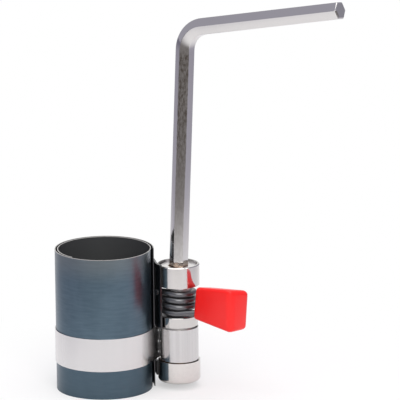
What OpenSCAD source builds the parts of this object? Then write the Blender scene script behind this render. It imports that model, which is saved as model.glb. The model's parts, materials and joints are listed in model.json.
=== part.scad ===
// Piston ring compressor: a rolled spring-steel sleeve, one tension band,
// a winding spindle held by a wrap spring, a release lever and an angled hex key.
// Millimetres, +Z up. Origin: the sleeve's axis in the plane of its lower rim.
// The head stands at +X; bearings count counter-clockwise from +X, seen from above.

/* [Sleeve] */
// Height of the rolled sleeve
sleeve_height = 70; // [50:0.5:100]
// Outside radius of the sleeve's outer lap
sleeve_radius = 24; // [20:0.1:40]
// Thickness of the spring-steel sheet
sheet_thickness = 0.45; // [0.3:0.05:0.8]
// Clear gap between the laps
lap_gap = 0.8; // [0.3:0.05:1]
// Bearing of the sheet's inner edge
inner_edge_bearing = 228; // [200:1:250]
// Extra radius with which the outer lap opens toward the head
lap_flare = 1; // [0.5:0.1:1.2]

/* [Tension band] */
// Width of the band
band_width = 16.3; // [10:0.1:22]
// Thickness of the band
band_thickness = 0.4; // [0.25:0.05:0.6]
// Distance from the band's fixed end to its rivets, as a bearing
band_rivet_inset = 4; // [3.5:0.25:6]
// Radius of the band rivets
band_rivet_radius = 0.7; // [0.5:0.05:0.9]
// Number of band rivets
band_rivet_count = 3; // [2:1:4]

/* [Winding head] */
// Clear gap between the sleeve's outer lap and the collars
nip_gap = 1.7; // [1.5:0.05:2.2]
// Step from the wound band out to the collar and the cup
collar_step = 0.78; // [0.6:0.02:3]
// Wall of the collar and the cup
collar_wall = 1.1; // [0.8:0.1:1.4]
// Height of the top collar
collar_height = 10.4; // [9:0.1:16]
// Clear space between the spring's hook and the top collar
collar_space = 1.35; // [0.4:0.05:2]
// Height of the bottom cup
cup_height = 10.6; // [8:0.1:16]
// Height of the cup's underside above the sleeve's lower rim
cup_lift = 3.1; // [1:0.1:8]
// Rounding of the cup's lower edge
cup_rounding = 1.8; // [0.5:0.1:2.5]
// Depth of the spindle's top face below the collar's rim
head_recess = 1.1; // [0.4:0.1:2]
// Thickness of the two washers
washer_thickness = 0.7; // [0.5:0.05:1]

/* [Brackets] */
// Thickness of the bracket plates
plate_thickness = 1; // [0.6:0.05:1.1]
// Height by which the upper bracket stands over the collar
bracket_rise = 0.9; // [0:0.1:2]
// Height of the lower bracket
lower_bracket_height = 7; // [6:0.1:9]
// Radius of the bracket rivets
bracket_rivet_radius = 1; // [0.7:0.05:1.3]

/* [Spindle] */
// Radius of the spindle's shaft
spindle_radius = 6.1; // [5.9:0.05:6.4]
// Radius of the drum that the band winds on
drum_radius = 8.7; // [8.2:0.05:8.9]
// Height of the flange between band and spring
flange_height = 5.6; // [4.4:0.1:8]
// Step from the wound band in to the flange
flange_step = 0.1; // [0:0.05:0.3]
// Radius of the cross pin that locks the drum to the spindle
drum_pin_radius = 1.2; // [0.8:0.05:1.6]

/* [Wrap spring and lever] */
// Diameter of the spring wire
wire_diameter = 3.05; // [2.6:0.05:3.3]
// Clear gap between the coils
coil_gap = 0.25; // [0.15:0.05:0.5]
// Full turns of the spring, apart from the part turn between its ends
full_turns = 3; // [2:1:5]
// Bearing where the spring's hook meets the coil
hook_bearing = 214; // [212:1:216]
// Bearing where the spring's tail leaves the coil
tail_bearing = 262; // [258:1:266]
// Rise of the tail for each millimetre of its length
tail_rise = 0.08; // [0:0.01:0.1]
// Bearing along which the lever grip points
grip_bearing = -42; // [-50:1:-36]
// Offset of the grip's middle from the head's axis
grip_side = 2.9; // [2.4:0.1:3.4]
// Distance from the head's axis to the grip
grip_start = 11.7; // [11.5:0.1:15]
// Slant of the grip's face at the spring
grip_slant = 1.9; // [0:0.1:3]
// Length of the lever grip
grip_length = 25.7; // [18:0.1:32]
// Grip height at the spring
grip_root_height = 16.8; // [15:0.1:19]
// Grip height at its end
grip_end_height = 21.9; // [18:0.1:26]
// Height by which the grip's far side falls short at its top and its bottom
grip_back_step = 2.6; // [0:0.1:3]
// Grip thickness at the spring
grip_root_width = 12; // [11:0.1:14]
// Grip thickness at its end
grip_end_width = 13.5; // [11:0.1:16]
// Rounding of the grip's edges
grip_rounding = 1.9; // [1:0.1:2.4]

/* [Hex key] */
// Width across flats of the key
key_flats = 8; // [7:0.1:8.2]
// Play on each side between key and socket
key_play = 0.35; // [0.33:0.01:0.45]
// Length of the key's stem, from its lower end to the corner of its centre lines
key_stem = 130.9; // [80:0.1:180]
// Length of the key's handle, from that corner to its end
key_handle = 88.8; // [60:0.1:120]
// Turn of the bend
key_turn = 76.9; // [70:0.1:90]
// Radius of the bend at the centre line
key_bend_radius = 15.5; // [10:0.1:20]
// Depth by which the key stands in the socket
key_depth = 13; // [10:0.1:14]
// Bearing of the key's handle
key_bearing = -32.6; // [-60:0.1:60]
// Lean of the key toward the handle's side, taken up by the play
key_lean_x = 2.3; // [0:0.1:2.5]
// Lean of the key away from the viewer
key_lean_y = 0.8; // [0:0.1:0.9]

/* [Hidden] */
$fn = 96;

// Fits
running = 0.06;
seat = 0.02;
axial_play = 0.1;
apart = 0.3;

// Hair's breadth of step and overlap where pieces of one sheet or rod run together
join_step = 0.01;
join_length = 0.12;

// Sleeve: a spiral of true arcs about two centres
lap_pitch = sheet_thickness + lap_gap;
lap_middle = sleeve_radius - sheet_thickness / 2 - lap_pitch;
spread_bearing = inner_edge_bearing - 180;
turn_centre = -lap_pitch / 2 * toward(spread_bearing);
flare_centre = -lap_flare * toward(spread_bearing);
flare_radius = sleeve_radius + lap_flare;
outer_edge_bearing = 0;

// Wound band, and the head's parts that follow from it
wind_pitch = band_thickness + 0.1;
roll_middle = drum_radius + seat + wind_pitch + band_thickness / 2;
roll_radius = roll_middle + band_thickness / 2;
collar_radius = roll_radius + collar_step;
flange_radius = roll_radius - flange_step;

// Head levels
head = [sleeve_radius + nip_gap + collar_radius, 0];
cup_bottom = cup_lift;
cup_top = cup_bottom + cup_height;
bush_top = cup_top - 0.5;
drum_bottom = bush_top + washer_thickness + axial_play + seat;
band_bottom = drum_bottom + 0.05;
band_top = band_bottom + band_width;
flange_bottom = band_top + 0.6;
flange_top = flange_bottom + flange_height;
coil_pitch = wire_diameter + coil_gap;
coil_turns = full_turns + (tail_bearing - hook_bearing) / 360;
coil_rise = coil_pitch * coil_turns;
tail_level = flange_top + apart + wire_diameter / 2;
hook_level = tail_level + coil_rise;
collar_bottom = hook_level + wire_diameter / 2 + collar_space;
collar_top = collar_bottom + collar_height;
collar_floor = collar_bottom + 1;
shoulder = collar_floor + seat + washer_thickness + axial_play;
head_top = collar_top - head_recess;
socket_floor = head_top - key_depth - 1.4;
collar_bore = collar_radius - collar_wall;

// Band
band_offset = seat * 3 + band_thickness / 2;
band_lap_radius = flare_radius + band_offset;
band_turn_radius = lap_middle + lap_pitch / 2 + sheet_thickness / 2 + band_offset;
reach_radius = roll_radius + 0.25 + band_thickness / 2;
band_cross = crossing(turn_centre, band_turn_radius, head, reach_radius, -1);
band_end_bearing = outer_edge_bearing + 2;
band_rivet_bearing = band_end_bearing + band_rivet_inset;

// Brackets
plate_lap_radius = flare_radius + seat + plate_thickness / 2;
plate_head_radius = collar_radius + seat + plate_thickness / 2;
plate_cross = crossing(flare_centre, plate_lap_radius, head, plate_head_radius, 1);
plate_back = 41;
upper_plate_front = 220;
lower_plate_front = 196;
upper_bracket_bottom = band_top + 0.5;
upper_bracket_top = collar_top + bracket_rise;
lower_bracket_top = cup_top - 0.3;
lower_bracket_bottom = lower_bracket_top - lower_bracket_height;
rivet_bearings = [20, 34];

// Spring
coil_radius = spindle_radius + running + wire_diameter / 2;
hook_bend = 2.2;
hook_reach = 1.9;
wire_fit = 0.04;
wire_sides = 12;
coil_steps = 36;
tail_length = grip_start + 8.7;

// Grip
grip_root_middle = tail_level + 6.15;
grip_end_middle = tail_level + 6.1;

// Key
key_corner = key_flats / sqrt(3);
key_tangent = key_bend_radius * tan(key_turn / 2);
key_chamfer = 0.7;

// Unit vector at a bearing
function toward(a) = [cos(a), sin(a)];

// Bearing of the line that crosses between two circles, leaving the first at its back (1) or front (-1)
function crossing(c, rc, h, rh, side) =
  atan2(h.y - c.y, h.x - c.x) + side * acos((rc + rh) / norm(h - c));

// Part of an upright ring: a true arc of sheet
module arc(centre, radius, thickness, from, to, low, high) {
  translate([centre.x, centre.y, low])
    rotate(from)
      rotate_extrude(angle = to - from)
        translate([radius - thickness / 2, 0])
          square([thickness, high - low]);
}

// An arc that runs on into its neighbours at both ends, a hair thinner than they are
module joining_arc(centre, radius, thickness, from, to, low, high) {
  arc(centre, radius, thickness - join_step, from - 0.4, to + 0.4, low, high);
}

// Upright flat strip between two points in plan, running on into its neighbours
module joining_strip(p, q, thickness, low, high) {
  translate([p.x, p.y, low])
    rotate(atan2(q.y - p.y, q.x - p.x))
      translate([-join_length, -(thickness - join_step) / 2, 0])
        cube([norm(q - p) + 2 * join_length, thickness - join_step, high - low]);
}

// Flat ring
module washer(inner, outer, low, high) {
  translate([head.x, head.y, low])
    difference() {
      cylinder(r = outer, h = high - low);
      translate([0, 0, -1])
        cylinder(r = inner, h = high - low + 2);
    }
}

module sleeve() {
  color("#5f7486") {
    arc([0, 0], lap_middle, sheet_thickness, spread_bearing, inner_edge_bearing, 0, sleeve_height);
    joining_arc(turn_centre, lap_middle + lap_pitch / 2, sheet_thickness,
                inner_edge_bearing - 360, spread_bearing, 0, sleeve_height);
    arc([0, 0], lap_middle + lap_pitch, sheet_thickness,
        spread_bearing, inner_edge_bearing, 0, sleeve_height);
    joining_arc(flare_centre, flare_radius - sheet_thickness / 2, sheet_thickness,
                outer_edge_bearing + 0.4, spread_bearing, 0, sleeve_height);
  }
}

module tension_band() {
  color("#d9dadb")
    difference() {
      union() {
        // Fixed end, riveted to the outer lap behind the head
        arc(flare_centre, band_lap_radius, band_thickness,
            band_end_bearing, spread_bearing, band_bottom, band_top);
        joining_arc([0, 0], sleeve_radius + band_offset, band_thickness,
                    spread_bearing, inner_edge_bearing, band_bottom, band_top);
        arc(turn_centre, band_turn_radius, band_thickness,
            inner_edge_bearing - 360, band_cross, band_bottom, band_top);
        // Wound end: from the front of the sleeve across the nip to the drum
        joining_strip(turn_centre + band_turn_radius * toward(band_cross),
                      head - reach_radius * toward(band_cross),
                      band_thickness, band_bottom, band_top);
      }
      band_rivet_shanks(band_rivet_radius);
    }
}

// Places of the band rivets, with X outward
module band_rivet_places() {
  step = band_width / band_rivet_count;
  for (i = [0 : band_rivet_count - 1])
    translate([flare_centre.x, flare_centre.y, band_bottom + step * (i + 0.5)])
      rotate(band_rivet_bearing)
        children();
}

module band_rivet_shanks(r) {
  band_rivet_places()
    translate([flare_radius - 3, 0, 0])
      rotate([0, 90, 0])
        cylinder(r = r, h = 5);
}

module band_rivets() {
  face = band_lap_radius + band_thickness / 2;
  color("#b9bcc0")
    band_rivet_places()
      translate([face, 0, 0])
        rotate([0, 90, 0]) {
          translate([0, 0, -band_thickness - seat])
            cylinder(r = band_rivet_radius - seat, h = band_thickness + 2 * seat);
          translate([0, 0, seat])
            cylinder(r1 = band_rivet_radius * 1.6, r2 = band_rivet_radius, h = 0.4);
        }
}

// Plan of a bracket: on the outer lap, across the nip and on to the collar
module bracket_plate(low, high, front) {
  arc(flare_centre, plate_lap_radius, plate_thickness, plate_cross, plate_back, low, high);
  joining_strip(head - plate_head_radius * toward(plate_cross),
                flare_centre + plate_lap_radius * toward(plate_cross), plate_thickness, low, high);
  arc(head, plate_head_radius, plate_thickness, plate_cross + 180, front, low, high);
}

// A row of rivet places on a bracket, with X outward
module bracket_rivet_places(level) {
  for (a = rivet_bearings)
    translate([flare_centre.x, flare_centre.y, level])
      rotate(a)
        children();
}

module bracket_rivet_holes(level) {
  bracket_rivet_places(level)
    translate([flare_radius - 3, 0, 0])
      rotate([0, 90, 0])
        cylinder(r = bracket_rivet_radius, h = 6);
}

module bracket_rivet_row(level) {
  face = plate_lap_radius + plate_thickness / 2;
  bracket_rivet_places(level)
    translate([face, 0, 0])
      rotate([0, 90, 0]) {
        translate([0, 0, -plate_thickness - seat])
          cylinder(r = bracket_rivet_radius - seat, h = plate_thickness + 2 * seat);
        translate([0, 0, seat])
          rotate_extrude()
            intersection() {
              translate([0, -bracket_rivet_radius])
                circle(r = 2 * bracket_rivet_radius);
              square([2 * bracket_rivet_radius, 2 * bracket_rivet_radius]);
            }
      }
}

upper_rivet_levels = [upper_bracket_bottom + 4, upper_bracket_top - 4];
lower_rivet_level = (lower_bracket_bottom + lower_bracket_top) / 2;

module upper_bracket() {
  color("#3d434a")
    difference() {
      bracket_plate(upper_bracket_bottom, upper_bracket_top, upper_plate_front);
      for (z = upper_rivet_levels)
        bracket_rivet_holes(z);
      // Hole that holds the spring's hook
      translate(hook_point(hook_bend, -hook_bend))
        rotate([0, 90, hook_bearing])
          cylinder(r = wire_diameter / 2 + wire_fit, h = 5);
    }
}

module lower_bracket() {
  color("#3d434a")
    difference() {
      bracket_plate(lower_bracket_bottom, lower_bracket_top, lower_plate_front);
      bracket_rivet_holes(lower_rivet_level);
    }
}

module upper_bracket_rivets() {
  color("#b9bcc0")
    for (z = upper_rivet_levels)
      bracket_rivet_row(z);
}

module lower_bracket_rivets() {
  color("#b9bcc0")
    bracket_rivet_row(lower_rivet_level);
}

module top_collar() {
  edge = 0.4;
  color("#d5d8dc")
    translate([head.x, head.y, 0])
      difference() {
        union() {
          translate([0, 0, collar_bottom])
            cylinder(r = collar_radius, h = collar_height - edge);
          translate([0, 0, collar_top - edge])
            cylinder(r1 = collar_radius, r2 = collar_radius - edge, h = edge);
        }
        translate([0, 0, collar_floor])
          cylinder(r = collar_bore, h = collar_height);
        translate([0, 0, collar_bottom - 1])
          cylinder(r = spindle_radius + apart, h = 4);
      }
}

module bottom_cup() {
  color("#d5d8dc")
    translate([head.x, head.y, 0])
      difference() {
        union() {
          translate([0, 0, cup_bottom + cup_rounding])
            cylinder(r = collar_radius, h = cup_height - cup_rounding);
          translate([0, 0, cup_bottom])
            cylinder(r = collar_radius - cup_rounding, h = cup_rounding + 1);
          translate([0, 0, cup_bottom + cup_rounding])
            rotate_extrude()
              translate([collar_radius - cup_rounding, 0])
                circle(r = cup_rounding);
        }
        translate([0, 0, cup_bottom + 1])
          cylinder(r = collar_bore, h = cup_height);
      }
}

module lower_bush() {
  color("#b08d57")
    washer(spindle_radius + running, collar_bore - seat, cup_bottom + 1 + seat, bush_top);
}

module thrust_washer() {
  color("#b08d57")
    washer(spindle_radius + running * 3, collar_bore - 0.2,
           bush_top + seat, bush_top + seat + washer_thickness);
}

module head_washer() {
  color("#b08d57")
    washer(spindle_radius + running * 3, collar_bore - 0.2,
           collar_floor + seat, collar_floor + seat + washer_thickness);
}

module spindle() {
  edge = 0.5;
  color("#c9ccd0")
    translate([head.x, head.y, 0])
      difference() {
        union() {
          translate([0, 0, cup_bottom + 1 + axial_play])
            cylinder(r = spindle_radius, h = head_top - cup_bottom - 3);
          translate([0, 0, shoulder])
            cylinder(r = collar_bore - running, h = head_top - shoulder - edge);
          translate([0, 0, head_top - edge])
            cylinder(r1 = collar_bore - running, r2 = collar_bore - running - edge, h = edge);
        }
        translate([0, 0, socket_floor])
          rotate(key_bearing + 30)
            cylinder(r = key_corner + key_play * 2 / sqrt(3), h = 40, $fn = 6);
        drum_pin_bore(drum_pin_radius + seat);
      }
}

module drum_pin_bore(r) {
  translate([-flange_radius - 1, 0, flange_bottom + flange_height / 2])
    rotate([0, 90, 0])
      cylinder(r = r, h = 2 * flange_radius + 2);
}

module band_drum() {
  lip = 0.4;
  color("#d5d8dc")
    translate([head.x, head.y, 0])
      difference() {
        union() {
          translate([0, 0, drum_bottom])
            cylinder(r = drum_radius, h = flange_top - drum_bottom);
          translate([0, 0, flange_bottom])
            cylinder(r1 = flange_radius - lip, r2 = flange_radius, h = lip);
          translate([0, 0, flange_bottom + lip])
            cylinder(r = flange_radius, h = flange_height - 2 * lip);
          translate([0, 0, flange_top - lip])
            cylinder(r1 = flange_radius, r2 = flange_radius - lip, h = lip);
        }
        translate([0, 0, drum_bottom - 1])
          cylinder(r = spindle_radius + seat, h = flange_top);
        drum_pin_bore(drum_pin_radius + seat);
        // Slot for the band's inner end
        translate([0, 0, drum_bottom - 1])
          rotate(band_cross + 180)
            translate([drum_radius - 1.6, -0.3 - band_thickness / 2, 0])
              cube([3, band_thickness + 0.6, flange_bottom - drum_bottom + 0.8]);
      }
}

module drum_pin() {
  length = 2 * (flange_radius - 0.4);
  color("#9a9ea3")
    translate([head.x - length / 2, head.y, flange_bottom + flange_height / 2])
      rotate([0, 90, 0])
        cylinder(r = drum_pin_radius, h = length);
}

// Wound turns of the band, clockwise: a spiral of two half turns about two centres.
// The second starts a little inside the first and ends just past the tab in the drum's slot.
module band_roll() {
  second_start = 179;
  second_end = 362.6;
  tab_depth = 1.3;
  color("#d0d2d4")
    translate([head.x, head.y, 0])
      rotate(band_cross + 180)
        mirror([0, 1, 0]) {
          arc([0, 0], roll_middle, band_thickness, 1.5, 180, band_bottom, band_top);
          joining_arc([-wind_pitch / 2, 0], roll_middle - wind_pitch / 2, band_thickness,
                      second_start, second_end, band_bottom, band_top);
          translate([drum_radius - tab_depth, -band_thickness / 2, band_bottom])
            cube([roll_middle - wind_pitch - drum_radius + tab_depth, band_thickness, band_width]);
        }
}

// Centre line of the spring wire: hook, coil and tail, as points in space
function hook_point(e, t) =
  let (r = toward(hook_bearing), w = toward(hook_bearing + 90))
    [head.x + (coil_radius + e) * r.x + t * w.x, head.y + (coil_radius + e) * r.y + t * w.y, hook_level];

function coil_point(i, n) =
  let (a = hook_bearing + 360 * coil_turns * i / n)
    [head.x + coil_radius * cos(a), head.y + coil_radius * sin(a), hook_level - coil_rise * i / n];

function tail_point(s) =
  let (r = toward(tail_bearing), w = toward(tail_bearing + 90))
    [head.x + coil_radius * r.x + s * w.x, head.y + coil_radius * r.y + s * w.y, tail_level + s * tail_rise];

coil_points = round(coil_steps * coil_turns);

wire_path = concat(
  [hook_point(hook_bend + hook_reach, -hook_bend)],
  [for (a = [270 : -15 : 195]) hook_point(hook_bend + hook_bend * cos(a), hook_bend * sin(a))],
  [for (i = [0 : coil_points]) coil_point(i, coil_points)],
  [tail_point(2), tail_point(tail_length)]
);

function unit(v) = v / norm(v);

// Direction of the wire at one of its points
function wire_way(i) =
  unit(wire_path[min(i + 1, len(wire_path) - 1)] - wire_path[max(i - 1, 0)]);

// One ring of points round the wire
function wire_ring(i) =
  let (t = wire_way(i), side = unit(cross(t, [0, 0, 1])), up = cross(side, t))
    [for (k = [0 : wire_sides - 1])
      let (a = 360 * k / wire_sides)
        wire_path[i] + wire_diameter / 2 * (cos(a) * side + sin(a) * up)];

module wrap_spring() {
  n = len(wire_path);
  points = [for (i = [0 : n - 1]) each wire_ring(i)];
  sides = [for (i = [0 : n - 2], k = [0 : wire_sides - 1])
    let (j = (k + 1) % wire_sides, a = i * wire_sides, b = a + wire_sides)
      each [[a + k, b + k, b + j], [a + k, b + j, a + j]]];
  start_cap = [[for (k = [0 : wire_sides - 1]) k]];
  end_cap = [[for (k = [wire_sides - 1 : -1 : 0]) (n - 1) * wire_sides + k]];
  color("#26272a")
    polyhedron(points = points, faces = concat(sides, start_cap, end_cap), convexity = 8);
}

module lever_grip() {
  r = grip_rounding;
  color("#e8322f")
    difference() {
      translate([head.x, head.y, 0])
        rotate(grip_bearing)
          translate([0, grip_side, 0])
            hull()
              for (side = [-1, 1], level = [-1, 1]) {
                less = r + (side + 1) / 2 * grip_back_step;
                translate([grip_start + r + (level + 1) / 2 * grip_slant,
                           side * (grip_root_width / 2 - r),
                           grip_root_middle + level * (grip_root_height / 2 - less)])
                  sphere(r = r, $fn = 24);
                translate([grip_start + grip_length - r, side * (grip_end_width / 2 - r),
                           grip_end_middle + level * (grip_end_height / 2 - less)])
                  sphere(r = r, $fn = 24);
              }
      // Hole for the spring's tail
      translate(tail_point(coil_radius))
        rotate([0, 90 - atan(tail_rise), tail_bearing + 90])
          cylinder(r = wire_diameter / 2 + wire_fit, h = tail_length - coil_radius + apart);
    }
}

// Six-sided rod with bevelled ends where asked
module key_rod(length, low_bevel, high_bevel) {
  intersection() {
    rotate(30)
      cylinder(r = key_corner, h = length, $fn = 6);
    union() {
      translate([0, 0, low_bevel])
        cylinder(r = key_corner + 1, h = length - low_bevel - high_bevel);
      if (low_bevel > 0)
        cylinder(r1 = key_corner - low_bevel, r2 = key_corner, h = low_bevel);
      if (high_bevel > 0)
        translate([0, 0, length - high_bevel])
          cylinder(r1 = key_corner, r2 = key_corner - high_bevel, h = high_bevel);
    }
  }
}

module hex_key() {
  color("#c4c6c9")
    translate([head.x, head.y, head_top - key_depth / 2])
      rotate([-key_lean_y, key_lean_x, 0])
        rotate(key_bearing)
          translate([0, 0, -key_depth / 2]) {
            key_rod(key_stem - key_tangent + join_length, key_chamfer, 0);
            translate([key_bend_radius, 0, key_stem - key_tangent])
              mirror([1, 0, 0])
                rotate([90, 0, 0])
                  rotate_extrude(angle = key_turn)
                    translate([key_bend_radius, 0])
                      rotate(30)
                        circle(r = key_corner + join_step, $fn = 6);
            translate([0, 0, key_stem])
              rotate([0, key_turn, 0])
                translate([0, 0, key_tangent - join_length])
                  key_rod(key_handle - key_tangent + join_length, 0, key_chamfer);
          }
}

sleeve();
tension_band();
band_rivets();
upper_bracket();
lower_bracket();
upper_bracket_rivets();
lower_bracket_rivets();
top_collar();
bottom_cup();
lower_bush();
thrust_washer();
head_washer();
spindle();
band_drum();
drum_pin();
band_roll();
wrap_spring();
lever_grip();
hex_key();
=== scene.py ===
"""Piston ring compressor: finishes, wire, grip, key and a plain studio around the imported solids."""

import json
import math

import bmesh
import bpy
from bpy.props import FloatProperty, FloatVectorProperty, IntProperty, PointerProperty
from mathutils import Matrix, Vector


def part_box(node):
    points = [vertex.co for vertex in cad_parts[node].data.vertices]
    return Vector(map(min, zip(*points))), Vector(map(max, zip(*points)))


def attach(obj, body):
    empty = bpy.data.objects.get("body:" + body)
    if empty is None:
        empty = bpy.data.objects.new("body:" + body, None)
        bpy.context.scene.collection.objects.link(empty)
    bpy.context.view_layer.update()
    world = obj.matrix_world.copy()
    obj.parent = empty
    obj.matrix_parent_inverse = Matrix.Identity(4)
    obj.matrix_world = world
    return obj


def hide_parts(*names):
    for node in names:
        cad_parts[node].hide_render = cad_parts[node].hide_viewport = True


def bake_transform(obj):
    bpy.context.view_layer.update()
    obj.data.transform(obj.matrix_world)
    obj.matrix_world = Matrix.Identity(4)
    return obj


bl_info = {
    "name": "Piston ring compressor",
    "version": (1, 0, 0),
    "blender": (4, 5, 0),
    "location": "View3D > Sidebar > Ring tool",
    "description": "Builds the looks of a piston ring compressor around its packed solids",
    "category": "Object",
}

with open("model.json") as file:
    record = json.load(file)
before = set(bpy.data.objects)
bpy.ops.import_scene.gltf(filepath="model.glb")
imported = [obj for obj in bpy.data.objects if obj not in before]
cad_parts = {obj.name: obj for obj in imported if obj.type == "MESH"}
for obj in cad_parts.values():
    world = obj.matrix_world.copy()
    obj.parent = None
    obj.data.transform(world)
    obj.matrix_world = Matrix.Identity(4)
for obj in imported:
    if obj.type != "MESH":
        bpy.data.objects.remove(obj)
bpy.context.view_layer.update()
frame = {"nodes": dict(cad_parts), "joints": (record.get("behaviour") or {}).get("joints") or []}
JOINTS = {joint["name"]: joint for joint in frame["joints"]}

# The sleeve's axis is the frame's own; the head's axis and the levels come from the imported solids
SLEEVE_AXIS = Vector((0.0, 0.0, 0.0))
HEAD = Vector((*JOINTS["spindle_turn"]["pos_m"][:2], 0.0))
TAIL_LEVEL = JOINTS["lever_release"]["pos_m"][2]
HOOK_LEVEL = JOINTS["lever_release"]["deforming_nodes"][0]["fixed_end_z_m"]
SPINDLE_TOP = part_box("spindle")[1].z
SLEEVE_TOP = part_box("sleeve")[1].z
FLANGE_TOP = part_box("band_drum")[1].z

# The flange ends above the wound band
FLANGE_HEIGHT = 0.0056
FLANGE_BOTTOM = FLANGE_TOP - FLANGE_HEIGHT

# The rolled sheet turns about this point at the front; its inner face lies within this radius of it
LAP_CENTRE = Vector((-0.00042, -0.00046, 0.0))
LAP_RADIUS = 0.02315

# Past this place along X, toward the head, sheet and band get painted shade: their colour is darkened like
# the dark zone between sleeve and head
NIP = 0.0237


# Settings

def length(name, default, description):
    """A length in metres that the sidebar shows with its unit."""
    return FloatProperty(name=name, default=default, description=description, unit="LENGTH", precision=5)


def angle(name, degrees, description):
    """An angle that the sidebar shows in degrees."""
    return FloatProperty(name=name, default=math.radians(degrees), description=description, unit="ROTATION")


def power(name, watts, description):
    """The power of a lamp."""
    return FloatProperty(name=name, default=watts, description=description, unit="POWER")


def colour(name, default, description):
    """A linear colour with a picker."""
    return FloatVectorProperty(
        name=name, default=default, description=description, subtype="COLOR", size=3, min=0, max=1
    )


class SpringSettings(bpy.types.PropertyGroup):
    """Sizes of the wrap spring."""

    wire_diameter: length("Wire", 0.00305, "Diameter of the spring wire")
    shaft_radius: length("Shaft", 0.00616, "Radius on which the coil runs")
    full_turns: IntProperty(name="Turns", default=3, description="Full turns, apart from the part turn")
    hook_bearing: angle("Hook bearing", 214, "Bearing where the hook meets the coil")
    tail_bearing: angle("Tail bearing", 262, "Bearing where the tail leaves the coil")
    hook_bend: length("Hook bend", 0.0022, "Radius of the hook's bend")
    hook_reach: length("Hook reach", 0.0019, "Length of the hook beyond its bend")
    tail_length: length("Tail", 0.0204, "Length of the straight tail")
    tail_rise: FloatProperty(name="Tail rise", default=0.08, description="Rise of the tail over its length")
    wire_sides: IntProperty(name="Sides", default=20, description="Faces round the wire")


class GripSettings(bpy.types.PropertyGroup):
    """Sizes of the moulded lever grip."""

    bearing: angle("Bearing", -42, "Bearing along which the grip points")
    side: length("Offset", 0.0029, "Middle of the grip beside the head's axis")
    start: length("Start", 0.0117, "Distance from the head's axis to the grip")
    slant: length("Slant", 0.0019, "Slant of the face at the spring")
    reach: length("Length", 0.0257, "Length of the grip")
    root_height: length("Root height", 0.0168, "Height at the spring")
    end_height: length("End height", 0.0219, "Height at the far end")
    back_step: length("Far side", 0.0026, "Height lost at the far side's top, and below it at the spring")
    back_sink: length("Far corner", 0.0013, "How far the end's lower far corner lies below its near one")
    end_lean: length("End lean", 0.001, "Lean of the end's far edge, outward at its top and inward below")
    root_width: length("Root width", 0.012, "Thickness at the spring")
    end_width: length("End width", 0.0135, "Thickness at the far end")
    root_rise: length("Root rise", 0.00615, "Middle of the root above the tail")
    end_rise: length("End rise", 0.0061, "Middle of the end above the tail")
    rounding: length("Rounding", 0.0019, "Radius of the edges")
    corner: length("Corner", 0.0038, "Radius of the upright corner at the front of the end")
    end_rounding: length("End rounding", 0.0027, "Radius of the edges at the end's far corners")
    wire_gap: length("Wire gap", 0.00004, "Clear gap round the spring's tail")
    end_gap: length("End gap", 0.0003, "Clear gap past the end of the spring's tail")


class KeySettings(bpy.types.PropertyGroup):
    """Sizes of the angled hex key."""

    flats: length("Across flats", 0.008, "Width across flats")
    stem: length("Stem", 0.1309, "Lower end to the corner of the centre lines")
    handle: length("Handle", 0.0888, "Corner of the centre lines to the handle's end")
    turn: angle("Turn", 76.9, "Turn of the bend")
    bend_radius: length("Bend radius", 0.0133, "Radius of the bend at the centre line")
    depth: length("Depth", 0.013, "Depth in the socket")
    bearing: angle("Bearing", -32.6, "Bearing of the handle")
    lean_x: angle("Lean to the handle", 2.3, "Lean toward the handle's side")
    lean_y: angle("Lean back", 0.8, "Lean away from the viewer")
    edge_radius: length("Edge radius", 0.00035, "Rounding of the long edges")
    stem_roll: angle("Stem roll", -4, "Roll of the stem's flats above the socket")
    handle_roll: angle("Handle roll", -7, "Roll of the handle's flats")
    roll_length: length("Roll length", 0.016, "Length above the socket's depth over which the stem rolls")
    end_bevel: length("End bevel", 0.0007, "Bevel of the two ends")


class FinishSettings(bpy.types.PropertyGroup):
    """Colours of the finishes."""

    blued_dark: colour("Blued steel, dark", (0.082, 0.125, 0.160), "Darker tone of the blued sheet")
    blued_light: colour("Blued steel, light", (0.114, 0.167, 0.210), "Lighter tone of the blued sheet")
    blued_inside: colour("Blued steel, inside", (0.075, 0.078, 0.080), "Tone of the sheet's inner face")
    blued_top: colour("Blued steel, top", (0.33, 0.33, 0.30), "Paler tone below the upper rim")
    blued_rim: colour("Blued steel, rim", (0.50, 0.49, 0.47), "Bare cut edge of the sheet")
    band: colour("Band", (0.73, 0.72, 0.715), "Bright strip of the band")
    chrome: colour("Chrome", (0.64, 0.622, 0.60), "Chromed head")
    key: colour("Key", (0.69, 0.68, 0.665), "Chromed hexagon bar")
    key_worn: colour("Key, worn", (0.23, 0.20, 0.17), "Mottles on the front flat of the stem")
    spring: colour("Spring", (0.132, 0.134, 0.140), "Black oxide wire")
    grip: colour("Grip", (0.98, 0.016, 0.014), "Red moulding")
    turned: colour("Turned face", (0.97, 0.95, 0.93), "Bare top face of the spindle")
    stain: colour("Stain", (0.33, 0.22, 0.15), "Brown oil round the socket")
    bronze: colour("Bronze", (0.40, 0.24, 0.10), "Bearing bronze")
    bracket: colour("Bracket", (0.13, 0.13, 0.135), "Blackened bracket plates")
    rivet: colour("Rivet", (0.48, 0.48, 0.49), "Plain steel of rivets and pin")


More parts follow.
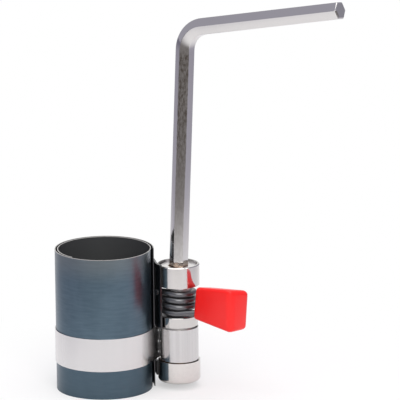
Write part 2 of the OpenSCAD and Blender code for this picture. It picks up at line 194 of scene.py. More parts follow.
class StageSettings(bpy.types.PropertyGroup):
    """Camera and light."""

    distance: length("Distance", 2.5, "Camera to the middle of the picture")
    elevation: angle("Elevation", 14.12, "Camera above the horizon")
    roll: angle("Roll", 0.6, "Turn of the picture")
    lens: FloatProperty(
        name="Lens", default=462.8, description="Focal length on a 36 mm sensor", unit="CAMERA"
    )
    aim: FloatVectorProperty(
        name="Aim", default=(0.04712, 0.0, 0.09364), description="Point in the picture's middle",
        subtype="TRANSLATION", size=3,
    )
    floor: colour("Floor", (0.92, 0.92, 0.92), "White table round the tool")
    surround: colour("Surround", (0.44, 0.43, 0.49), "Room beside the table")
    front: colour("Front", (0.20, 0.19, 0.185), "Dim room in front of the table")
    sky: colour("Sky", (0.43, 0.42, 0.49), "Light of the room")
    lamp: colour("Lamp", (1.0, 0.985, 0.93), "Colour of the two lamps")
    backdrop: colour("Backdrop", (0.86, 0.86, 0.86), "White wall behind the table")
    softbox_power: power("Softbox", 11.0, "Overhead light")
    fill_power: power("Fill", 20.0, "Light from the camera's side")


class CompressorSettings(bpy.types.PropertyGroup):
    """All settings of the tool."""

    spring: PointerProperty(type=SpringSettings)
    grip: PointerProperty(type=GripSettings)
    key: PointerProperty(type=KeySettings)
    finish: PointerProperty(type=FinishSettings)
    stage: PointerProperty(type=StageSettings)


# Shader maths

class Value:
    """A shader socket that takes part in Python arithmetic."""

    def __init__(self, tree, socket):
        self.tree = tree
        self.socket = socket

    def apply(self, operation, *operands):
        """A Math node on these values."""
        node = self.tree.nodes.new("ShaderNodeMath")
        node.operation = operation
        for entry, operand in zip(node.inputs, operands):
            plug(self.tree, entry, operand)
        return Value(self.tree, node.outputs[0])

    def __add__(self, other):
        return self.apply("ADD", self, other)

    def __sub__(self, other):
        return self.apply("SUBTRACT", self, other)

    def __rsub__(self, other):
        return self.apply("SUBTRACT", other, self)

    def __mul__(self, other):
        return self.apply("MULTIPLY", self, other)

    def __abs__(self):
        return self.apply("ABSOLUTE", self)

    __radd__ = __add__
    __rmul__ = __mul__


def plug(tree, entry, value):
    """Links a value to a socket, or sets the socket's own number."""
    if isinstance(value, Value):
        tree.links.new(value.socket, entry)
    else:
        entry.default_value = value


class Finish:
    """A node tree under construction, with one method for every kind of node."""

    def __init__(self, name):
        self.material = bpy.data.materials.new(name)
        self.material.use_nodes = True
        self.tree = self.material.node_tree
        self.tree.nodes.clear()

    def node(self, kind, inputs=None, settings=None, output=0):
        """Adds a node, sets it up, fills its sockets and returns one of its outputs, if it has any."""
        node = self.tree.nodes.new(kind)
        for name, value in (settings or {}).items():
            setattr(node, name, value)
        for name, value in (inputs or {}).items():
            plug(self.tree, node.inputs[name], value)
        return Value(self.tree, node.outputs[output]) if node.outputs else None

    def place(self):
        """The Object coordinates as three values."""
        split = self.node("ShaderNodeSeparateXYZ", {
            "Vector": self.node("ShaderNodeTexCoord", output="Object"),
        })
        return [Value(self.tree, entry) for entry in split.socket.node.outputs]

    def noise(self, x, y, z, scale=1.0, detail=3.0, roughness=0.5):
        """Smooth noise between 0 and 1 at a place."""
        return self.node("ShaderNodeTexNoise", {
            "Vector": self.node("ShaderNodeCombineXYZ", {"X": x, "Y": y, "Z": z}),
            "Scale": scale,
            "Detail": detail,
            "Roughness": roughness,
        })

    def between(self, value, low, high):
        """A smooth step from 0 at low to 1 at high."""
        return self.node("ShaderNodeMapRange", {
            "Value": value, "From Min": low, "From Max": high,
        }, {"interpolation_type": "SMOOTHSTEP"})

    def mix(self, share, first, second):
        """Two colours mixed by a share."""
        node = self.tree.nodes.new("ShaderNodeMix")
        node.data_type = "RGBA"
        for index, value in ((0, share), (6, first), (7, second)):
            if not isinstance(value, Value) and index:
                value = (*value, 1.0)
            plug(self.tree, node.inputs[index], value)
        return Value(self.tree, node.outputs[2])

    def bump(self, height, distance):
        """Normals of a fine relief; the distance is its depth in metres."""
        return self.node("ShaderNodeBump", {
            "Height": height, "Distance": distance, "Strength": 1.0,
        })

    def surface(self, **sockets):
        """The Principled shader on the material's output; base_color stands for its socket Base Color."""
        named = {
            name.replace("_", " ").title().replace("Ior", "IOR"): value
            for name, value in sockets.items()
        }
        shader = self.node("ShaderNodeBsdfPrincipled", named)
        self.node("ShaderNodeOutputMaterial", {"Surface": shader})
        return self.material


def shade(tint, share):
    """A colour made darker or paler by a factor."""
    return tuple(part * share for part in tint)


def distance(x, y):
    """Distance of a place from an upright axis."""
    return x.apply("SQRT", x * x + y * y)


def round_place(finish, centre):
    """Angle round an upright axis and height, for a pattern that follows a ring."""
    x, y, z = finish.place()
    x = x - centre.x
    y = y - centre.y
    return x.apply("ARCTAN2", y, x), z


def ring_noise(finish, place, round_scale, up_scale, layer, detail):
    """Noise stretched round an upright axis; the layer keeps the patterns of one finish apart."""
    turn, height = place
    return finish.noise(turn * round_scale, height * up_scale, layer, detail=detail)


# Finishes

def blued_steel(colours):
    """Blued spring sheet: rolling lines, a dull inner face, a bare cut rim and painted shade behind the head.
    """
    edge_blur = 0.00005
    rim_depth = 0.00025
    pale_depth = 0.014
    low_full, low_end = 0.012, 0.022
    shade_blur = 0.0006
    finish = Finish("blued spring steel")
    place = round_place(finish, LAP_CENTRE)
    cloud = ring_noise(finish, place, round_scale=2.2, up_scale=30, layer=0.0, detail=3.0)
    lines = ring_noise(finish, place, round_scale=3.0, up_scale=900, layer=3.0, detail=2.0)
    grain = ring_noise(finish, place, round_scale=60, up_scale=1400, layer=7.0, detail=2.0)
    x, y, height = finish.place()
    far = distance(x - LAP_CENTRE.x, y - LAP_CENTRE.y)
    inside = 1.0 - finish.between(far, LAP_RADIUS - edge_blur, LAP_RADIUS + edge_blur)
    rim = finish.between(height, SLEEVE_TOP - rim_depth, SLEEVE_TOP - edge_blur)
    low = 1.0 - finish.between(height, low_full, low_end)
    pale = finish.between(height, SLEEVE_TOP - pale_depth, SLEEVE_TOP)
    # Painted shade: past NIP the outer face is darkened toward the bracket's colour, standing in for the
    # shade between sleeve and head
    oil_and_painted_shade = finish.between(x, NIP - shade_blur, NIP) * (1.0 - inside)
    tone = finish.between(cloud * 0.5 + lines * 0.5, 0.25, 0.75)
    sheet = finish.mix(tone, colours.blued_dark, colours.blued_light)
    sheet = finish.mix(low * 0.6, sheet, shade(colours.blued_dark, 0.8))
    sheet = finish.mix(pale * 0.3, sheet, colours.blued_top)
    sheet = finish.mix(inside, sheet, colours.blued_inside)
    sheet = finish.mix(oil_and_painted_shade, sheet, shade(colours.bracket, 0.6))
    return finish.surface(
        base_color=finish.mix(rim, sheet, colours.blued_rim),
        metallic=0.9 - inside * 0.65,
        roughness=0.28 + grain * 0.08,
        normal=finish.bump(lines * 0.6 + grain * 0.4, distance=0.00001),
    )


def bright_strip(name, tint, centre, rough, streaks, depth, shaded_from=None):
    """Satin stainless strip, ground along its length, with upright streaks and an end painted dark as shade
    between sleeve and head.
    """
    shade_blur = 0.002
    finish = Finish(name)
    place = round_place(finish, centre)
    lines = ring_noise(finish, place, round_scale=3.0, up_scale=2600, layer=1.0, detail=3.0)
    cloud = ring_noise(finish, place, round_scale=streaks, up_scale=6, layer=5.0, detail=2.0)
    tone = finish.between(lines * 0.3 + cloud * 0.7, 0.25, 0.75)
    strip = finish.mix(tone, shade(tint, 1 - depth), tint)
    # Painted shade: past this place the strip's colour is darkened to a fifth
    if shaded_from is not None:
        oil_and_painted_shade = finish.between(finish.place()[0], shaded_from, shaded_from + shade_blur)
        strip = finish.mix(oil_and_painted_shade, strip, shade(tint, 0.2))
    return finish.surface(
        base_color=strip,
        metallic=1.0,
        roughness=rough + cloud * 0.05,
        normal=finish.bump(lines, distance=0.000006),
    )


def polished(name, tint, rough, speckle, grain_scale, dark_reflection=0.0):
    """Polished or chromed steel with faint speckles; a painted dark reflection darkens the head's side toward
    the sleeve.
    """
    dark_reflection_start, dark_reflection_full = math.radians(123), math.radians(135)
    finish = Finish(name)
    x, y, z = finish.place()
    cloud = finish.noise(x, y, z, scale=90.0)
    grain = finish.noise(x, y, z, scale=grain_scale, detail=4.0, roughness=0.65)
    tone = finish.mix(finish.between(grain, 0.25, 0.6), shade(tint, 1 - speckle), tint)
    # Painted reflection: the side toward the sleeve is darkened, standing in for the dark sleeve that the
    # chrome mirrors
    if dark_reflection:
        turn = round_place(finish, HEAD)[0]
        facing_sleeve = finish.between(abs(turn), dark_reflection_start, dark_reflection_full)
        tone = finish.mix(facing_sleeve * dark_reflection, tone, shade(tint, 0.2))
    return finish.surface(
        base_color=tone,
        metallic=1.0,
        roughness=rough + cloud * 0.06 + grain * 0.04,
        normal=finish.bump(grain * 0.6 + cloud * 0.4, distance=0.000015),
    )


def front_flat(finish, key):
    """Share of the stem's front flat, which ends at the bend."""
    next_flat = math.radians(60)
    face_start, face_full = 0.465 * key.flats, 0.485 * key.flats
    bend_blur = 0.003
    x, y, z = finish.place()
    seat = SPINDLE_TOP - key.depth / 2
    facing = key.bearing - next_flat + key.stem_roll
    out = (x - HEAD.x - (z - seat) * math.tan(key.lean_x)) * math.cos(facing)
    out = out + (y - HEAD.y - (z - seat) * math.tan(key.lean_y)) * math.sin(facing)
    front = finish.between(out, face_start, face_full)
    bend = SPINDLE_TOP - key.depth + key.stem - key.bend_radius * math.tan(key.turn / 2)
    return front * (1.0 - finish.between(z, bend - bend_blur, bend + bend_blur))


def darker_end_face(finish, key):
    """Share of the face at the handle's end."""
    face_start, face_full = -0.0003, -0.0001
    x, y, z = finish.place()
    place = key_place(key)
    along, tip = handle_line(key)
    along = place.to_3x3() @ along
    reach = x * along.x + y * along.y + z * along.z - (place @ tip).dot(along)
    return finish.between(reach, face_start, face_full)


def drawn_bar(colours, key):
    """Chromed hexagon bar: a mottled front flat, brown oil at the socket and a darker end face."""
    wear_start, wear_full = SPINDLE_TOP + 0.01, SPINDLE_TOP + 0.09
    oil_start, oil_full = SPINDLE_TOP - 0.003, SPINDLE_TOP - 0.0005
    oil_fades, oil_end = SPINDLE_TOP + 0.0002, SPINDLE_TOP + 0.0028
    least_wear = 0.25
    finish = Finish("key chrome")
    x, y, z = finish.place()
    cloud = finish.noise(x, y, z, scale=60.0)
    mottle = finish.noise(x * 1500, y * 1500, z * 360, detail=4.0, roughness=0.75)
    wear_share = least_wear + finish.between(z, wear_start, wear_full) * (1 - least_wear)
    worn = finish.between(mottle, 0.36, 0.64) * front_flat(finish, key) * wear_share
    oil_and_painted_shade = finish.between(z, oil_start, oil_full) * (1.0 - finish.between(z, oil_fades, oil_end))
    bar = finish.mix(cloud, shade(colours.key, 0.96), colours.key)
    bar = finish.mix(oil_and_painted_shade * 0.8, bar, colours.stain)
    bar = finish.mix(darker_end_face(finish, key), bar, shade(colours.key, 0.76))
    return finish.surface(
        base_color=finish.mix(worn, bar, colours.key_worn),
        metallic=1.0,
        roughness=0.08 + cloud * 0.05 + worn * 0.08,
    )


def black_oxide(colours):
    """Oiled black wire with fine drawing marks."""
    finish = Finish("black oxide wire")
    x, y, z = finish.place()
    grain = finish.noise(x, y, z, scale=1800.0)
    cloud = finish.noise(x, y, z, scale=160.0)
    return finish.surface(
        base_color=finish.mix(cloud, colours.spring, shade(colours.spring, 1.3)),
        metallic=0.9,
        roughness=0.24 + grain * 0.14,
        normal=finish.bump(grain, distance=0.00002),
    )


def red_moulding(colours):
    """Moulded red plastic with a faint texture."""
    finish = Finish("red moulding")
    x, y, z = finish.place()
    cloud = finish.noise(x, y, z, scale=120.0)
    grain = finish.noise(x, y, z, scale=1500.0, detail=2.0)
    return finish.surface(
        base_color=finish.mix(cloud, shade(colours.grip, 0.93), colours.grip),
        roughness=0.26 + grain * 0.10,
        specular_ior_level=0.4,
        normal=finish.bump(grain, distance=0.00002),
    )


def socket_face(colours):
    """Turned face of the spindle, with brown oil in and round its socket."""
    oil_radius, oil_end = 0.0050, 0.0056
    finish = Finish("spindle face")
    x, y, z = finish.place()
    x = x - HEAD.x
    y = y - HEAD.y
    far = distance(x, y)
    rings = finish.noise(far * 6000, z * 2000, 0.0, detail=2.0)
    cloud = finish.noise(x, y, z, scale=500.0)
    oil_and_painted_shade = 1.0 - finish.between(far + cloud * 0.0008, oil_radius, oil_end)
    bright = finish.mix(rings, shade(colours.turned, 0.85), colours.turned)
    return finish.surface(
        base_color=finish.mix(oil_and_painted_shade, bright, colours.stain),
        metallic=0.6,
        roughness=0.20 + rings * 0.08 + oil_and_painted_shade * 0.15,
    )


def flange_with_painted_shade(colours):
    """Polished flange whose top face is painted dark as shade beside the spring; the drum under it is dull.
    """
    top_start, top_full = FLANGE_TOP - 0.0004, FLANGE_TOP - 0.0001
    low_full, low_end = FLANGE_BOTTOM + 0.0003, FLANGE_BOTTOM + 0.0005
    finish = Finish("flange with painted shade")
    x, y, z = finish.place()
    cloud = finish.noise(x, y, z, scale=300.0)
    grain = finish.noise(x, y, z, scale=700.0, detail=4.0, roughness=0.65)
    top = finish.between(z, top_start, top_full)
    low = 1.0 - finish.between(z, low_full, low_end)
    bright = finish.mix(grain, shade(colours.chrome, 0.94), colours.chrome)
    return finish.surface(
        # Painted shade: the top face takes the spring's dark colour
        base_color=finish.mix(top * (0.8 + cloud * 0.2), bright, colours.spring),
        metallic=1.0,
        roughness=0.06 + cloud * 0.05 + top * 0.2 + low * 0.35,
        normal=finish.bump(grain * 0.6 + cloud * 0.4, distance=0.000015),
    )


def turned_bronze(name, bronze):
    """Plain bronze with turning marks round the head's axis."""
    finish = Finish(name)
    place = round_place(finish, HEAD)
    lines = ring_noise(finish, place, round_scale=2.0, up_scale=2400, layer=0.0, detail=2.0)
    return finish.surface(
        base_color=finish.mix(lines, shade(bronze, 0.8), bronze),
        metallic=1.0,
        roughness=0.32 + lines * 0.10,
    )


# Meshes

def wear(piece, material):
    """Gives a piece one material."""
    piece.data.materials.clear()
    piece.data.materials.append(material)


def wear_nodes(material, *names):
    """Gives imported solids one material."""
    for name in names:
        wear(frame["nodes"][name], material)


def new_piece(name, data):
    """A new object in the scene, at the origin."""
    piece = bpy.data.objects.new(name, data)
    bpy.context.scene.collection.objects.link(piece)
    return piece


def mesh_from(name, points, faces):
    """A mesh with consistent outward faces."""
    mesh = bpy.data.meshes.new(name)
    mesh.from_pydata([tuple(point) for point in points], [], faces)
    work = bmesh.new()
    work.from_mesh(mesh)
    bmesh.ops.recalc_face_normals(work, faces=work.faces[:])
    work.to_mesh(mesh)
    work.free()
    return mesh


def settle(piece):
    """Turns a piece with modifiers into a plain mesh."""
    graph = bpy.context.evaluated_depsgraph_get()
    plain = bpy.data.meshes.new_from_object(piece.evaluated_get(graph))
    piece.modifiers.clear()
    piece.data = plain


def smooth(piece, degrees):
    """Smooth shading with creases over an angle."""
    piece.data.shade_smooth()
    piece.data.set_sharp_from_angle(angle=math.radians(degrees))


def toward(bearing):
    """Level direction at a bearing from the X axis."""
    return Vector((math.cos(bearing), math.sin(bearing), 0.0))


def coil_radius(spring):
    """Radius of the coil's centre line."""
    return spring.shaft_radius + spring.wire_diameter / 2


def tail_place(spring, reach):
    """A point on the spring's straight tail."""
    out = toward(spring.tail_bearing) * coil_radius(spring)
    along = toward(spring.tail_bearing + math.pi / 2) * reach
    return HEAD + out + along + Vector((0, 0, TAIL_LEVEL + reach * spring.tail_rise))


def spring_path(spring):
    """Points along the wire: the hook through the bracket, the coil and the straight tail."""
    hook_start, hook_turn, hook_steps = 270, 80, 12
    coil_steps = 200
    tail_shares = (0.1, 0.4, 1.0)
    sweep = 2 * math.pi * spring.full_turns + spring.tail_bearing - spring.hook_bearing
    out = toward(spring.hook_bearing)
    side = toward(spring.hook_bearing + math.pi / 2)
    hook = HEAD + out * coil_radius(spring) + Vector((0, 0, HOOK_LEVEL))
    bend = spring.hook_bend
    points = [hook + out * (bend + spring.hook_reach) - side * bend]
    for step in range(hook_steps):
        turn = math.radians(hook_start - hook_turn * step / hook_steps)
        points.append(hook + out * bend * (1 + math.cos(turn)) + side * bend * math.sin(turn))
    for step in range(coil_steps + 1):
        share = step / coil_steps
        level = HOOK_LEVEL + (TAIL_LEVEL - HOOK_LEVEL) * share
        round_out = toward(spring.hook_bearing + sweep * share)
        points.append(HEAD + round_out * coil_radius(spring) + Vector((0, 0, level)))
    return points + [tail_place(spring, spring.tail_length * share) for share in tail_shares]


def wire_tree(material):
    """Geometry nodes: a round wire along the edges of a path."""
    tree = bpy.data.node_groups.new("wire along path", "GeometryNodeTree")
    face = tree.interface
    face.new_socket("Path", in_out="INPUT", socket_type="NodeSocketGeometry")
    radius = face.new_socket("Wire radius", in_out="INPUT", socket_type="NodeSocketFloat")
    sides = face.new_socket("Wire sides", in_out="INPUT", socket_type="NodeSocketInt")
    face.new_socket("Wire", in_out="OUTPUT", socket_type="NodeSocketGeometry")
    add = tree.nodes.new
    link = tree.links.new
    start = add("NodeGroupInput")
    end = add("NodeGroupOutput")
    line = add("GeometryNodeMeshToCurve")
    ring = add("GeometryNodeCurvePrimitiveCircle")
    sweep = add("GeometryNodeCurveToMesh")
    sweep.inputs["Fill Caps"].default_value = True
    soft = add("GeometryNodeSetShadeSmooth")
    real = add("GeometryNodeRealizeInstances")
    paint = add("GeometryNodeSetMaterial")
    paint.inputs["Material"].default_value = material
    link(start.outputs["Path"], line.inputs["Mesh"])
    link(start.outputs["Wire radius"], ring.inputs["Radius"])
    link(start.outputs["Wire sides"], ring.inputs["Resolution"])
    link(line.outputs["Curve"], sweep.inputs["Curve"])
    link(ring.outputs["Curve"], sweep.inputs["Profile Curve"])
    link(sweep.outputs["Mesh"], soft.inputs["Geometry"])
    link(soft.outputs["Geometry"], real.inputs["Geometry"])
    link(real.outputs["Geometry"], paint.inputs["Geometry"])
    link(paint.outputs["Geometry"], end.inputs["Wire"])
    return tree, radius.identifier, sides.identifier


def rounded_hexagon(flats, radius, corner_steps=3):
    """Outline of a hexagon with rounded corners, flats across the first axis."""
    reach = flats / math.sqrt(3) - radius * 2 / math.sqrt(3)
    points = []
    for corner in range(6):
        middle = math.radians(30 + 60 * corner)
        for step in range(corner_steps + 1):
            turn = middle + math.radians(60) * (step / corner_steps - 0.5)
            points.append((
                reach * math.cos(middle) + radius * math.cos(turn),
                reach * math.sin(middle) + radius * math.sin(turn),
            ))
    return points


def key_place(key):
    """Where the key stands in its socket, with its lean and bearing."""
    seat = HEAD + Vector((0, 0, SPINDLE_TOP - key.depth / 2))
    return (
        Matrix.Translation(seat)
        @ Matrix.Rotation(key.lean_x, 4, "Y")
        @ Matrix.Rotation(-key.lean_y, 4, "X")
        @ Matrix.Rotation(key.bearing, 4, "Z")
        @ Matrix.Translation((0, 0, -key.depth / 2))
    )


def handle_line(key):
    """Direction of the handle and the middle of its end, before the key is put in its socket."""
    along = Vector((math.sin(key.turn), 0, math.cos(key.turn)))
    return along, Vector((0, 0, key.stem)) + along * key.handle


def key_stations(key):
    """Rings along the key: place, direction to the bend's centre, size and roll of the section."""
    bend_steps = 20
    tangent = key.bend_radius * math.tan(key.turn / 2)
    bend_margin = key.flats / 8
    upright = Vector((1, 0, 0))
    bevel = key.end_bevel
    # Distance from an end and size of the section there
    ends = [(0.0, 1 - 2 * bevel / key.flats), (bevel * 0.5, 1 - 0.8 * bevel / key.flats), (bevel, 1.0)]
    rings = [(Vector((0, 0, level)), upright, size, 0.0) for level, size in ends]
    for share in (0.0, 0.25, 0.75, 1.0):
        level = key.depth + key.roll_length * share
        rings.append((Vector((0, 0, level)), upright, 1.0, key.stem_roll * share))
    rings.append((Vector((0, 0, key.stem - tangent - bend_margin)), upright, 1.0, key.stem_roll))
    centre = Vector((key.bend_radius, 0, key.stem - tangent))
    for step in range(bend_steps + 1):
        share = step / bend_steps
        inward = Vector((math.cos(key.turn * share), 0, -math.sin(key.turn * share)))
        roll = key.stem_roll + (key.handle_roll - key.stem_roll) * share
        rings.append((centre - inward * key.bend_radius, inward, 1.0, roll))
    along, tip = handle_line(key)
    for level, size in ((key.handle - tangent - bend_margin, 1.0), *reversed(ends)):
        rings.append((tip - along * level, inward, size, key.handle_roll))
    return rings


def key_mesh(key):
    """The bent hexagon bar, skinned over its rings."""
    outline = rounded_hexagon(key.flats, key.edge_radius)
    count = len(outline)
    place = key_place(key)
    rings = key_stations(key)
    across = Vector((0, 1, 0))
    points = []
    for middle, inward, size, roll in rings:
        c, s = math.cos(roll), math.sin(roll)
        for a, b in outline:
            depth = (a * c - b * s) * size
            points.append(place @ (middle + inward * depth + across * ((a * s + b * c) * size)))
    faces = [
        (row * count + i, row * count + (i + 1) % count,
         (row + 1) * count + (i + 1) % count, (row + 1) * count + i)
        for row in range(len(rings) - 1)
        for i in range(count)
    ]
    faces.append(tuple(range(count)))
    faces.append(tuple((len(rings) - 1) * count + i for i in range(count)))
    return mesh_from("hex key", points, faces)


def grip_mesh(grip):
    """Tapered block beside the spring, with the radii of its edges as bevel weights."""
    along = toward(grip.bearing)
    across = toward(grip.bearing + math.pi / 2)
    foot = HEAD + across * grip.side + Vector((0, 0, TAIL_LEVEL))
    root = (
        grip.start, grip.slant, 0.0,
        grip.root_width, grip.root_height, grip.root_rise, grip.back_step,
    )
    end = (
        grip.start + grip.reach, 0.0, grip.end_lean,
        grip.end_width, grip.end_height, grip.end_rise, -grip.back_sink,
    )
    points = []
    for reach, slant, lean, width, height, rise, lower_step in (root, end):
        for side, level in ((-1, -1), (1, -1), (1, 1), (-1, 1)):
            far = (side + 1) / 2
            upper = (level + 1) / 2
            step = grip.back_step if level > 0 else lower_step
            points.append(
                foot
                + along * (reach + slant * upper + lean * far * level)
                + across * (side * width / 2)
                + Vector((0, 0, rise + level * (height / 2 - far * step)))
            )
    faces = [(0, 1, 2, 3), (4, 5, 6, 7)]
    faces += [(i, (i + 1) % 4, (i + 1) % 4 + 4, i + 4) for i in range(4)]
    mesh = mesh_from("lever grip", points, faces)
    weights = mesh.attributes.new("bevel_weight_edge", "FLOAT", "EDGE")
    near_corners, far_corners = {4, 7}, {5, 6}
    for edge in mesh.edges:
        ends = set(edge.vertices)
        radius = grip.rounding
        if ends == near_corners:
            radius = grip.corner
        elif ends & far_corners:
            radius = grip.end_rounding
        weights.data[edge.index].value = radius / grip.corner
    return mesh


def rod(name, start, end, radius, sides=32):
    """A plain cylinder between two points, used as a cutter."""
    turn = (end - start).to_track_quat("Z", "Y")
    points = [
        place + turn @ (toward(2 * math.pi * i / sides) * radius)
        for place in (start, end)
        for i in range(sides)
    ]
    faces = [(i, (i + 1) % sides, (i + 1) % sides + sides, i + sides) for i in range(sides)]
    faces.append(tuple(range(sides)))
    faces.append(tuple(range(sides, 2 * sides)))
    return new_piece(name, mesh_from(name, points, faces))


# Operators

class SleeveOperator(bpy.types.Operator):
    """Gives the rolled sleeve its blued finish"""

    bl_idname = "ring_tool.sleeve"
    bl_label = "Finish sleeve"

    def execute(self, context):
        wear_nodes(blued_steel(context.scene.ring_tool.finish), "sleeve")
        return {"FINISHED"}


class BandOperator(bpy.types.Operator):
    """Gives the band and its wound turns their bright finish"""

    bl_idname = "ring_tool.band"
    bl_label = "Finish band"

    def execute(self, context):
        tint = context.scene.ring_tool.finish.band
        wear_nodes(bright_strip(
            "bright band", tint, SLEEVE_AXIS, rough=0.24, streaks=5.0, depth=0.07, shaded_from=NIP
        ), "tension_band")
        # Painted shade: the wound turns take the band's colour darkened to 0.92, a shaded copy of the same
        # steel
        wear_nodes(bright_strip(
            "wound band", shade(tint, 0.92), HEAD, rough=0.17, streaks=7.0, depth=0.16
        ), "band_roll")
        return {"FINISHED"}


class HeadOperator(bpy.types.Operator):
    """Finishes the winding head, its brackets, rivets and bearings"""

    bl_idname = "ring_tool.head"
    bl_label = "Finish head"

    def execute(self, context):
        colours = context.scene.ring_tool.finish
        self.finish_chrome(colours)
        self.finish_brackets(colours)
        self.finish_rivets(colours)
        self.finish_bearings(colours)
        return {"FINISHED"}

    def finish_chrome(self, colours):
        """Collar, cup, drum and spindle."""
        # The collar and cup get a painted dark reflection on their side toward the sleeve
        wear_nodes(polished(
            "head chrome", colours.chrome, rough=0.05, speckle=0.06, grain_scale=700.0, dark_reflection=0.9
        ), "top_collar")
        # Painted light: the cup takes the head's chrome brightened by 1.14, a lighter copy of the same chrome
        wear_nodes(polished(
            "cup chrome", shade(colours.chrome, 1.14), rough=0.06, speckle=0.06, grain_scale=700.0, dark_reflection=0.6
        ), "bottom_cup")
        wear_nodes(flange_with_painted_shade(colours), "band_drum")
        wear_nodes(socket_face(colours), "spindle")

    def finish_brackets(self, colours):
        """The upper plate, and the lower one behind the cup, whose colour is darkened to 0.35 as painted
        shade.
        """
        wear_nodes(polished(
            "blackened steel", colours.bracket, rough=0.24, speckle=0.3, grain_scale=900.0
        ), "upper_bracket")
        # Painted shade: the lower plate takes the bracket colour darkened to 0.35
        wear_nodes(polished(
            "painted shade steel", shade(colours.bracket, 0.35), rough=0.3, speckle=0.3, grain_scale=900.0
        ), "lower_bracket")

    def finish_rivets(self, colours):
        """Plain steel, and the rivets at the nip darkened to a fifth as painted shade."""
        wear_nodes(polished(
            "rivet steel", colours.rivet, rough=0.20, speckle=0.15, grain_scale=1500.0
        ), "upper_bracket_rivets", "drum_pin")
        # Painted shade: the rivets at the nip take the rivet colour darkened to 0.2
        wear_nodes(polished(
            "painted shade rivet steel", shade(colours.rivet, 0.2), rough=0.35, speckle=0.15, grain_scale=1500.0
        ), "band_rivets", "lower_bracket_rivets")

    def finish_bearings(self, colours):
        """Bush and washers, of which the one under the drum is darkened to a quarter as painted shade."""
        wear_nodes(turned_bronze("turned bronze", colours.bronze), "lower_bush", "head_washer")
        # Painted shade: the washer between drum and cup takes the bronze darkened to 0.25
        wear_nodes(turned_bronze("painted shade bronze", shade(colours.bronze, 0.25)), "thrust_washer")


class SpringOperator(bpy.types.Operator):
    """Winds the black wrap spring"""

    bl_idname = "ring_tool.spring"
    bl_label = "Wind spring"

    def execute(self, context):
        settings = context.scene.ring_tool
        spring = settings.spring
        points = [tuple(point) for point in spring_path(spring)]
        path = bpy.data.meshes.new("spring path")
        path.from_pydata(points, [(i, i + 1) for i in range(len(points) - 1)], [])
        piece = new_piece("smooth_wrap_spring", path)
        tree, radius, sides = wire_tree(black_oxide(settings.finish))
        wire = piece.modifiers.new("wire", "NODES")
        wire.node_group = tree
        wire[radius] = spring.wire_diameter / 2
        wire[sides] = spring.wire_sides
        settle(piece)
        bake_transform(piece)
        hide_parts("wrap_spring")
        return {"FINISHED"}


class GripOperator(bpy.types.Operator):
    """Moulds the red lever grip"""

    bl_idname = "ring_tool.grip"
    bl_label = "Mould grip"

    def execute(self, context):
        settings = context.scene.ring_tool
        grip = settings.grip
        spring = settings.spring
        piece = new_piece("moulded_grip", grip_mesh(grip))
        edges = piece.modifiers.new("rounded edges", "BEVEL")
        edges.width = grip.corner
        edges.segments = 6
        edges.limit_method = "WEIGHT"
        cutter = rod(
            "tail hole",
            tail_place(spring, coil_radius(spring)),
            tail_place(spring, spring.tail_length + grip.end_gap),
            spring.wire_diameter / 2 + grip.wire_gap,
        )
        hole = piece.modifiers.new("tail hole", "BOOLEAN")
        hole.operation = "DIFFERENCE"
        hole.object = cutter
        settle(piece)
        bpy.data.objects.remove(cutter)
        smooth(piece, degrees=35)
        wear(piece, red_moulding(settings.finish))
        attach(piece, "release_lever")
        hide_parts("lever_grip")
        return {"FINISHED"}


class KeyOperator(bpy.types.Operator):
    """Bends the angled hex key"""

    bl_idname = "ring_tool.key"
    bl_label = "Bend key"

    def execute(self, context):
        settings = context.scene.ring_tool
        piece = new_piece("bent_hex_key", key_mesh(settings.key))
        smooth(piece, degrees=15)
        wear(piece, drawn_bar(settings.finish, settings.key))
        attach(piece, "hex_key")
        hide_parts("hex_key")
        return {"FINISHED"}


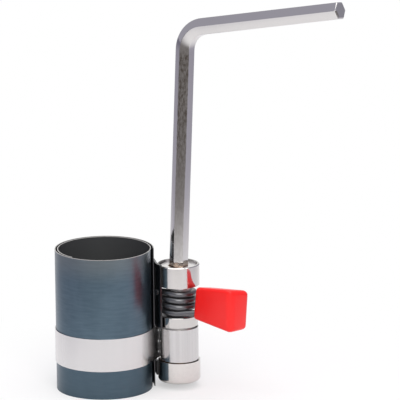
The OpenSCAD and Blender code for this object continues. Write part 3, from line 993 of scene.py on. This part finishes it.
class StageOperator(bpy.types.Operator):
    """Sets up the white table, the soft light and the camera"""

    bl_idname = "ring_tool.stage"
    bl_label = "Set the stage"

    def execute(self, context):
        stage = context.scene.ring_tool.stage
        self.lay_floor(stage)
        self.hang_backdrop(stage)
        self.fill_room(context, stage)
        self.hang_lights(stage)
        self.stand_camera(context, stage)
        context.scene.view_settings.view_transform = "Standard"
        return {"FINISHED"}

    def lay_floor(self, stage):
        """A white table that ends beside and in front of the tool; past its shadow the camera sees white."""
        half = 6.0
        side_start, side_end = 0.09, 0.39
        front_start, front_end = 0.19, 0.45
        shadow_start, shadow_end = 0.05, 0.16
        least_glow = 0.45
        floor = new_piece("floor", mesh_from(
            "floor", [(-half, -half, 0), (half, -half, 0), (half, half, 0), (-half, half, 0)], [(0, 1, 2, 3)]
        ))
        finish = Finish("white table")
        x, y = finish.place()[:2]
        x = x - stage.aim[0]
        tone = finish.mix(finish.between(abs(x), side_start, side_end), stage.floor, stage.surround)
        tone = finish.mix(finish.between(0.0 - y, front_start, front_end), tone, stage.front)
        board = finish.node("ShaderNodeBsdfDiffuse", {"Color": tone})
        glow = finish.node("ShaderNodeEmission", {"Color": (1, 1, 1, 1), "Strength": 1.0})
        clear = finish.between(distance(x, y), shadow_start, shadow_end)
        seen = finish.node("ShaderNodeLightPath", output="Is Camera Ray")
        share = seen * (least_glow + clear * (1 - least_glow))
        both = finish.node("ShaderNodeMixShader", {0: share, 1: board, 2: glow})
        finish.node("ShaderNodeOutputMaterial", {"Surface": both})
        wear(floor, finish.material)

    def hang_backdrop(self, stage):
        """A glowing white wall behind the table that the upward faces mirror and the camera looks through."""
        wide, high, back = 0.5, 0.9, 1.1
        corners = [(-wide, back, 0), (wide, back, 0), (wide, back, high), (-wide, back, high)]
        wall = new_piece("backdrop", mesh_from("backdrop", corners, [(0, 1, 2, 3)]))
        finish = Finish("white wall")
        glow = finish.node("ShaderNodeEmission", {"Color": (*stage.backdrop, 1.0), "Strength": 1.0})
        clear = finish.node("ShaderNodeBsdfTransparent")
        seen = finish.node("ShaderNodeLightPath", output="Is Camera Ray")
        both = finish.node("ShaderNodeMixShader", {0: seen, 1: glow, 2: clear})
        finish.node("ShaderNodeOutputMaterial", {"Surface": both})
        wear(wall, finish.material)

    def fill_room(self, context, stage):
        """Even light from the room, white where the camera looks past the table."""
        world = bpy.data.worlds.new("room")
        world.use_nodes = True
        tree = world.node_tree
        tree.nodes.clear()
        seen = tree.nodes.new("ShaderNodeLightPath").outputs["Is Camera Ray"]
        room = tree.nodes.new("ShaderNodeBackground")
        room.inputs["Color"].default_value = (*stage.sky, 1.0)
        white = tree.nodes.new("ShaderNodeBackground")
        white.inputs["Color"].default_value = (1, 1, 1, 1)
        both = tree.nodes.new("ShaderNodeMixShader")
        out = tree.nodes.new("ShaderNodeOutputWorld")
        tree.links.new(seen, both.inputs[0])
        tree.links.new(room.outputs[0], both.inputs[1])
        tree.links.new(white.outputs[0], both.inputs[2])
        tree.links.new(both.outputs[0], out.inputs["Surface"])
        context.scene.world = world

    def hang_lights(self, stage):
        """A large softbox overhead and a weak fill from the camera's side."""
        for name, watts, width, place in (
            ("softbox", stage.softbox_power, 1.4, Vector((0.0, -0.1, 1.3))),
            ("fill", stage.fill_power, 1.2, Vector((0.3, -1.8, 1.1))),
        ):
            lamp = bpy.data.lights.new(name, "AREA")
            lamp.energy = watts
            lamp.color = stage.lamp
            lamp.size = width
            light = new_piece(name, lamp)
            light.location = place
            light.rotation_mode = "QUATERNION"
            light.rotation_quaternion = (Vector(stage.aim) - place).to_track_quat("-Z", "Y")

    def stand_camera(self, context, stage):
        """A long lens in front of the tool, a little above it."""
        look = Vector((0, math.cos(stage.elevation), -math.sin(stage.elevation)))
        right = Vector((1, 0, 0))
        up = right.cross(look)
        c, s = math.cos(stage.roll), math.sin(stage.roll)
        right, up = right * c - up * s, right * s + up * c
        lens = bpy.data.cameras.new("camera")
        lens.sensor_width = 36.0
        lens.lens = stage.lens
        lens.clip_end = 50.0
        camera = new_piece("camera", lens)
        camera.matrix_world = Matrix.Translation(Vector(stage.aim) - look * stage.distance) @ Matrix(
            (right, up, -look)
        ).transposed().to_4x4()
        context.scene.camera = camera


class RingToolPanel(bpy.types.Panel):
    """Sidebar with the settings and the steps."""

    bl_idname = "VIEW3D_PT_ring_tool"
    bl_label = "Ring compressor"
    bl_space_type = "VIEW_3D"
    bl_region_type = "UI"
    bl_category = "Ring tool"

    def draw(self, context):
        settings = context.scene.ring_tool
        for part in ("spring", "grip", "key", "finish", "stage"):
            box = self.layout.box()
            group = getattr(settings, part)
            for name in group.__annotations__:
                box.prop(group, name)
        for step in STEPS:
            self.layout.operator(step.bl_idname)


GROUPS = (SpringSettings, GripSettings, KeySettings, FinishSettings, StageSettings, CompressorSettings)
STEPS = (SleeveOperator, BandOperator, HeadOperator, SpringOperator, GripOperator, KeyOperator, StageOperator)


def register():
    """Adds the classes and the scene's settings."""
    for item in (*GROUPS, *STEPS, RingToolPanel):
        bpy.utils.register_class(item)
    bpy.types.Scene.ring_tool = PointerProperty(type=CompressorSettings)


def unregister():
    """Takes the settings and the classes away again."""
    del bpy.types.Scene.ring_tool
    for item in reversed((*GROUPS, *STEPS, RingToolPanel)):
        bpy.utils.unregister_class(item)


def main():
    """Runs the steps in order."""
    register()
    bpy.ops.ring_tool.sleeve()
    bpy.ops.ring_tool.band()
    bpy.ops.ring_tool.head()
    bpy.ops.ring_tool.spring()
    bpy.ops.ring_tool.grip()
    bpy.ops.ring_tool.key()
    bpy.ops.ring_tool.stage()


if __name__ == "__main__":
    main()
